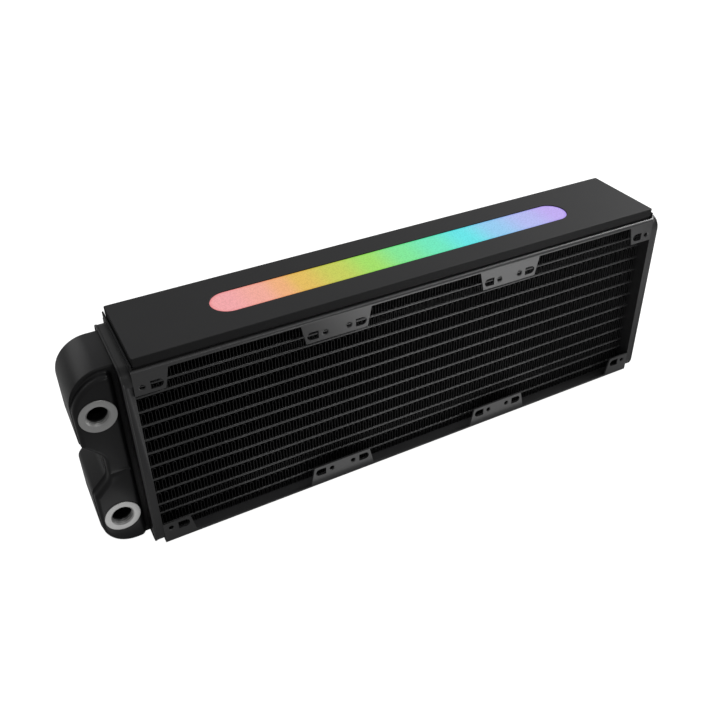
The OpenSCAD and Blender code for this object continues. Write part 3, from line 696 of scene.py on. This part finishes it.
def tube_loop(x, lo, hi, wall):
    """Flat tube's outline at x: two straight sides and two round noses."""
    radius = (hi.z - lo.z) / 2 - wall
    zc = (lo.z + hi.z) / 2
    back, front = hi.y - wall - radius, lo.y + wall + radius
    outline = arc(back, zc, radius, -90, 90, 10) + arc(front, zc, radius, 90, 270, 10)
    return [(x, y, z) for y, z in outline]


def make_tube(node):
    lo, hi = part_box(node)
    rings = [tube_loop(lo.x, lo, hi, 0), tube_loop(hi.x, lo, hi, 0),
             tube_loop(hi.x, lo, hi, TUBE_WALL), tube_loop(lo.x, lo, hi, TUBE_WALL)]
    points, faces = loft(rings + rings[:1], False, False)
    tube = mesh_object(node + "_finish", points, faces)
    return finished(tube, tube_black, "tube_paint", node)


def fin_wave_mesh(pitch, height, depth):
    """One wave of the fin strip: a round crest and a round trough with straight walls between."""
    bend = pitch / 4
    steps = 4
    middle = (arc(0, bend, bend, -90, 0, steps // 2) + arc(2 * bend, height - bend, bend, 180, 0, steps)
              + arc(4 * bend, bend, bend, 180, 270, steps // 2))
    half = FIN_SHEET / 2
    left, right = [], []
    for i, (x, z) in enumerate(middle):
        before, after = middle[max(i - 1, 0)], middle[min(i + 1, len(middle) - 1)]
        along = Vector((after[0] - before[0], after[1] - before[1])).normalized()
        if i in (0, len(middle) - 1):
            along = Vector((1, 0))
        left.append((x - along.y * half, z + along.x * half))
        right.append((x + along.y * half, z - along.x * half))
    ribbon = left + right[::-1]
    count = len(ribbon)
    points = [(x, y, z) for y in (-depth / 2, depth / 2) for x, z in ribbon]
    last = len(left) - 1
    faces = [(i, i + 1, count + i + 1, count + i) for i in range(count - 1) if i != last]
    faces += [(i, count - 1 - i, count - 2 - i, i + 1) for i in range(last)]
    faces += [(count + i, count + i + 1, 2 * count - 2 - i, 2 * count - 1 - i) for i in range(last)]
    mesh = bpy.data.meshes.new("fin_wave")
    mesh.from_pydata(points, [], faces)
    return mesh


def fin_row_tree():
    """Geometry nodes that repeat one wave along X and weld the waves into a strip."""
    tree = bpy.data.node_groups.new("fin_row", "GeometryNodeTree")
    interface = tree.interface
    interface.new_socket("Wave", in_out="INPUT", socket_type="NodeSocketGeometry")
    interface.new_socket("Count", in_out="INPUT", socket_type="NodeSocketInt")
    interface.new_socket("Pitch", in_out="INPUT", socket_type="NodeSocketFloat")
    interface.new_socket("Start", in_out="INPUT", socket_type="NodeSocketVector")
    interface.new_socket("Paint", in_out="INPUT", socket_type="NodeSocketMaterial")
    interface.new_socket("Strip", in_out="OUTPUT", socket_type="NodeSocketGeometry")
    nodes, links = tree.nodes, tree.links
    given, result = nodes.new("NodeGroupInput"), nodes.new("NodeGroupOutput")
    step = nodes.new("ShaderNodeCombineXYZ")
    row = nodes.new("GeometryNodeMeshLine")
    repeat = nodes.new("GeometryNodeInstanceOnPoints")
    real = nodes.new("GeometryNodeRealizeInstances")
    weld = nodes.new("GeometryNodeMergeByDistance")
    paint = nodes.new("GeometryNodeSetMaterial")
    weld.inputs["Distance"].default_value = 2e-6
    links.new(given.outputs["Pitch"], step.inputs["X"])
    links.new(given.outputs["Count"], row.inputs["Count"])
    links.new(given.outputs["Start"], row.inputs["Start Location"])
    links.new(step.outputs["Vector"], row.inputs["Offset"])
    links.new(row.outputs["Mesh"], repeat.inputs["Points"])
    links.new(given.outputs["Wave"], repeat.inputs["Instance"])
    links.new(repeat.outputs["Instances"], real.inputs["Geometry"])
    links.new(real.outputs["Geometry"], weld.inputs["Geometry"])
    links.new(weld.outputs["Geometry"], paint.inputs["Geometry"])
    links.new(given.outputs["Paint"], paint.inputs["Material"])
    links.new(paint.outputs["Geometry"], result.inputs["Strip"])
    return tree


def socket_id(tree, name):
    return next(s.identifier for s in tree.interface.items_tree if s.name == name and s.in_out == "INPUT")


def make_fin_strip(node, tree):
    lo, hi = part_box(node)
    height = hi.z - lo.z
    length = hi.x - lo.x
    count = int(length / (FIN_WAVE if height > LOW_FIN_LIMIT else LOW_FIN_WAVE))
    pitch = length / count
    strip = add_object(node + "_finish", fin_wave_mesh(pitch, height - FIN_SHEET, hi.y - lo.y))
    nodes_modifier = strip.modifiers.new("fin_row", "NODES")
    nodes_modifier.node_group = tree
    nodes_modifier[socket_id(tree, "Count")] = count
    nodes_modifier[socket_id(tree, "Pitch")] = pitch
    nodes_modifier[socket_id(tree, "Start")] = (lo.x, (lo.y + hi.y) / 2, lo.z + FIN_SHEET / 2)
    nodes_modifier[socket_id(tree, "Paint")] = fin_black
    baked(strip)
    smooth_by_angle(strip, 50)
    return finished(strip, fin_black, "fin_paint", node)


# ------------------------------------------------------------ lit cover


def capsule_outline(length, width, steps=20):
    reach = (length - width) / 2
    return arc(reach, 0, width / 2, -90, 90, steps) + arc(-reach, 0, width / 2, 90, 270, steps)


def make_cover():
    """Folded cap with a soft top edge, a window, a notch for the socket and three screw holes behind."""
    lo, hi = cover_lo, cover_hi
    xc, yc = (lo.x + hi.x) / 2, (lo.y + hi.y) / 2
    length, width = hi.x - lo.x, hi.y - lo.y
    rings = []

    def ring(inset, z, radius=COVER_R):
        outline = rounded_outline(length - 2 * inset, width - 2 * inset, max(radius - inset, 0.2 * MM))
        rings.append([(xc + x, yc + y, z) for x, y in outline])

    def window_ring(grow, z):
        outline = rounded_outline(WINDOW_LEN + 2 * grow, WINDOW_W + 2 * grow, WINDOW_W / 2 + grow, 8)
        rings.append([(xc + x, yc + y, z) for x, y in outline])

    ring(0, lo.z)
    for t in quarter_steps():
        ring(COVER_EDGE * (1 - math.cos(t)), hi.z - COVER_EDGE * (1 - math.sin(t)))
    window_ring(WINDOW_EDGE, hi.z)
    window_ring(0, hi.z - WINDOW_EDGE)
    window_ring(0, hi.z - COVER_T)
    ring(COVER_T, hi.z - COVER_T)
    ring(COVER_T, lo.z)
    cover = mesh_object("led_cover_finish", *loft(rings + rings[:1], False, False))
    socket_lo, socket_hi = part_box("led_socket")
    x0, x1 = socket_lo.x - SMALL_GAP, socket_hi.x + SMALL_GAP
    z0, z1 = lo.z - OVERSHOOT, socket_hi.z + SMALL_GAP
    through = (hi.y - 1.2 * COVER_T, hi.y + OVERSHOOT)
    notch = [[(x, y, z) for x, z in ((x0, z0), (x1, z0), (x1, z1), (x0, z1))] for y in through]
    cut(cover, mesh_object("notch", *loft(notch)))
    screws_lo, screws_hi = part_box("cover_screws")
    screw_z = (screws_lo.z + screws_hi.z) / 2
    head = (screws_hi.z - screws_lo.z) / 2
    for screw_x in (screws_lo.x + head, FRAME_XC, screws_hi.x - head):
        hole = [[(x, y, z) for x, z in arc(screw_x, screw_z, COVER_HOLE_R, 0, 345, 23)] for y in through]
        cut(cover, mesh_object("hole", *loft(hole)))
    smooth_by_angle(cover, 40)
    cover.modifiers.new("flat_faces", "WEIGHTED_NORMAL").keep_sharp = True
    return finished(baked(cover), cover_grey, "cover_paint", "led_cover")


def make_diffuser():
    """Milky bar: a flange under the cover and a softly domed panel in the window."""
    lo, hi = diffuser_lo, diffuser_hi
    xc, yc = (lo.x + hi.x) / 2, (lo.y + hi.y) / 2
    flange = (hi.y - lo.y - WINDOW_W) / 2
    step_z = lo.z + FLANGE_T
    edge = PANEL_EDGE
    panel = flange + SMALL_GAP
    # Each ring's inset, its height, and how strongly the deeper colour of the rim shows there
    profile = [(flange, lo.z, 0), (0, lo.z, 0), (0, step_z, 0), (panel, step_z, 1), (panel, hi.z - edge, 1),
               (panel + edge * 0.3, hi.z - edge * 0.3, 1), (panel + edge, hi.z - 0.03 * MM, 1),
               (panel + 1.0 * MM, hi.z - 0.02 * MM, 0.45), (panel + 2.2 * MM, hi.z - 0.01 * MM, 0.0),
               (panel + 6 * MM, hi.z, 0)]
    rings, rims = [], []
    for inset, z, rim in profile:
        outline = capsule_outline(hi.x - lo.x - 2 * inset, hi.y - lo.y - 2 * inset)
        rings.append([(xc + x, yc + y, z) for x, y in outline])
        rims += [rim] * len(outline)
    points, faces = loft(rings)
    mesh = bpy.data.meshes.new("light_diffuser_finish")
    mesh.from_pydata(points, [], faces)
    attribute = mesh.attributes.new("rim", "FLOAT", "POINT")
    attribute.data.foreach_set("value", rims)
    bm = bmesh.new()
    bm.from_mesh(mesh)
    bmesh.ops.recalc_face_normals(bm, faces=bm.faces)
    bm.to_mesh(mesh)
    bm.free()
    diffuser = add_object("light_diffuser_finish", mesh)
    smooth_by_angle(diffuser, 40)
    return finished(diffuser, lit_window, "milky_diffuser", "light_diffuser")


# ------------------------------------------------------------ assembly

make_port_tank()
make_return_tank()
for bush_node, bush_z in zip(("inlet_port_bush", "outlet_port_bush"), port_centres()):
    make_port_bush(bush_node, bush_z)
for tube_node in sorted(n for n in NODES if n.startswith("tube_")):
    make_tube(tube_node)
fin_tree = fin_row_tree()
for fin_node in sorted(n for n in NODES if n.startswith("fin_strip_")):
    make_fin_strip(fin_node, fin_tree)
make_diffuser()
for rail_node in ("upper_side_rail", "lower_side_rail"):
    finished(soften(cad_copy(rail_node), 0.2 * MM), frame_black, "frame_paint", rail_node)
make_header("port_header_plate", port_rim_hi.x, port_rim_lo.x)
make_header("return_header_plate", return_rim_lo.x, return_rim_hi.x)
make_cover()
finished(soften(cad_copy("led_base_tray"), 0.15 * MM), tray_black, "tray_paint", "led_base_tray")

KEPT_FINISHES = {"tank_divider": bare_brass, "led_circuit_board": board_white, "led_lamps": lamp_cap,
                 "led_socket": socket_nylon, "cover_screws": screw_black, "board_screws": screw_zinc,
                 "tray_rivets": rivet_aluminium}
for kept_node, finish in KEPT_FINISHES.items():
    kept = NODES[kept_node].data
    kept.materials.clear()
    kept.materials.append(finish)

# ------------------------------------------------------------ stage, light and camera


def stage_material():
    """Pale floor: it looks bright, and casts only a soft glow on the radiator."""
    material, nodes, links, shader = new_material("pale_floor")
    shader.inputs["Base Color"].default_value = (0.16, 0.16, 0.16, 1)
    shader.inputs["Roughness"].default_value = 0.9
    shader.inputs["Specular IOR Level"].default_value = 0.0
    light_path = nodes.new("ShaderNodeLightPath")
    shader.inputs["Emission Color"].default_value = (1, 1, 1, 1)
    glow = nodes.new("ShaderNodeMapRange")
    glow.inputs["To Min"].default_value = 0.12
    glow.inputs["To Max"].default_value = 1.0
    links.new(light_path.outputs["Is Camera Ray"], glow.inputs["Value"])
    links.new(glow.outputs["Result"], shader.inputs["Emission Strength"])
    return material


def make_floor():
    reach = 4.0
    mesh = bpy.data.meshes.new("floor")
    level = cad_box[0].z - 0.2 * MM
    corners = [(-reach, -reach, level), (reach, -reach, level), (reach, reach, level), (-reach, reach, level)]
    mesh.from_pydata(corners, [], [(0, 1, 2, 3)])
    mesh.materials.append(stage_material())
    add_object("floor", mesh)


def make_world():
    world = bpy.data.worlds.new("studio")
    bpy.context.scene.world = world
    world.use_nodes = True
    nodes, links = world.node_tree.nodes, world.node_tree.links
    background = nodes["Background"]
    background.inputs["Color"].default_value = (1, 1, 1, 1)
    light_path = nodes.new("ShaderNodeLightPath")
    glow = nodes.new("ShaderNodeMapRange")
    glow.inputs["To Min"].default_value = 0.25
    glow.inputs["To Max"].default_value = 1.0
    links.new(light_path.outputs["Is Camera Ray"], glow.inputs["Value"])
    links.new(glow.outputs["Result"], background.inputs["Strength"])


def softbox(name, place, target, width, height, power):
    """A rectangular light that faces its target and stays out of the picture."""
    light = bpy.data.lights.new(name, "AREA")
    light.shape = "RECTANGLE"
    light.size, light.size_y = width, height
    light.energy = power
    lamp = add_object(name, light)
    lamp.location = place
    lamp.rotation_mode = "QUATERNION"
    lamp.rotation_quaternion = (Vector(target) - Vector(place)).to_track_quat("-Z", "Y")
    lamp.visible_camera = False
    return lamp


def make_camera():
    camera = bpy.data.cameras.new("camera")
    camera.sensor_width = 36
    camera.lens = 42.37
    camera.shift_x, camera.shift_y = -0.0257, -0.0426
    camera.clip_start, camera.clip_end = 0.01, 20
    holder = add_object("camera", camera)
    holder.location = (-0.21915, -0.39260, 0.38836)
    holder.rotation_euler = tuple(math.radians(a) for a in (55.61, 0.32, -28.45))
    bpy.context.scene.camera = holder


# Name, place, aim, width, height in metres, and power in watts: large boxes to the right and behind, a narrow
# strip above the front, and three cards on the floor that glow on the fan tabs and on the foot of the port tank
LIGHTS = [
    ("right_softbox", (1.7, 0.25, 1.35), (0.0, 0, 0.1), 1.2, 1.0, 72),
    ("back_left_softbox", (-0.75, 1.3, 0.75), (0.0, 0, 0.1), 0.9, 0.7, 1.6),
    ("back_softbox", (0.75, 1.5, 1.0), (0.0, 0, 0.1), 1.6, 0.9, 1.4),
    ("front_top_strip", (0.55, -0.75, 1.05), (0.0, 0, 0.06), 1.0, 0.10, 1.6),
    ("floor_card", (0.16, -0.21, 0.004), (0.16, -0.18, 0.5), 0.26, 0.16, 0.34),
    ("low_card", (0.010, -0.055, 0.003), (0.010, -0.054, 0.5), 0.24, 0.044, 0.022),
    ("tank_card", (-0.193, -0.057, 0.003), (-0.193, -0.056, 0.5), 0.035, 0.044, 0.004),
]

make_floor()
make_world()
for light_row in LIGHTS:
    softbox(*light_row)
make_camera()
bpy.context.scene.view_settings.view_transform = "Standard"
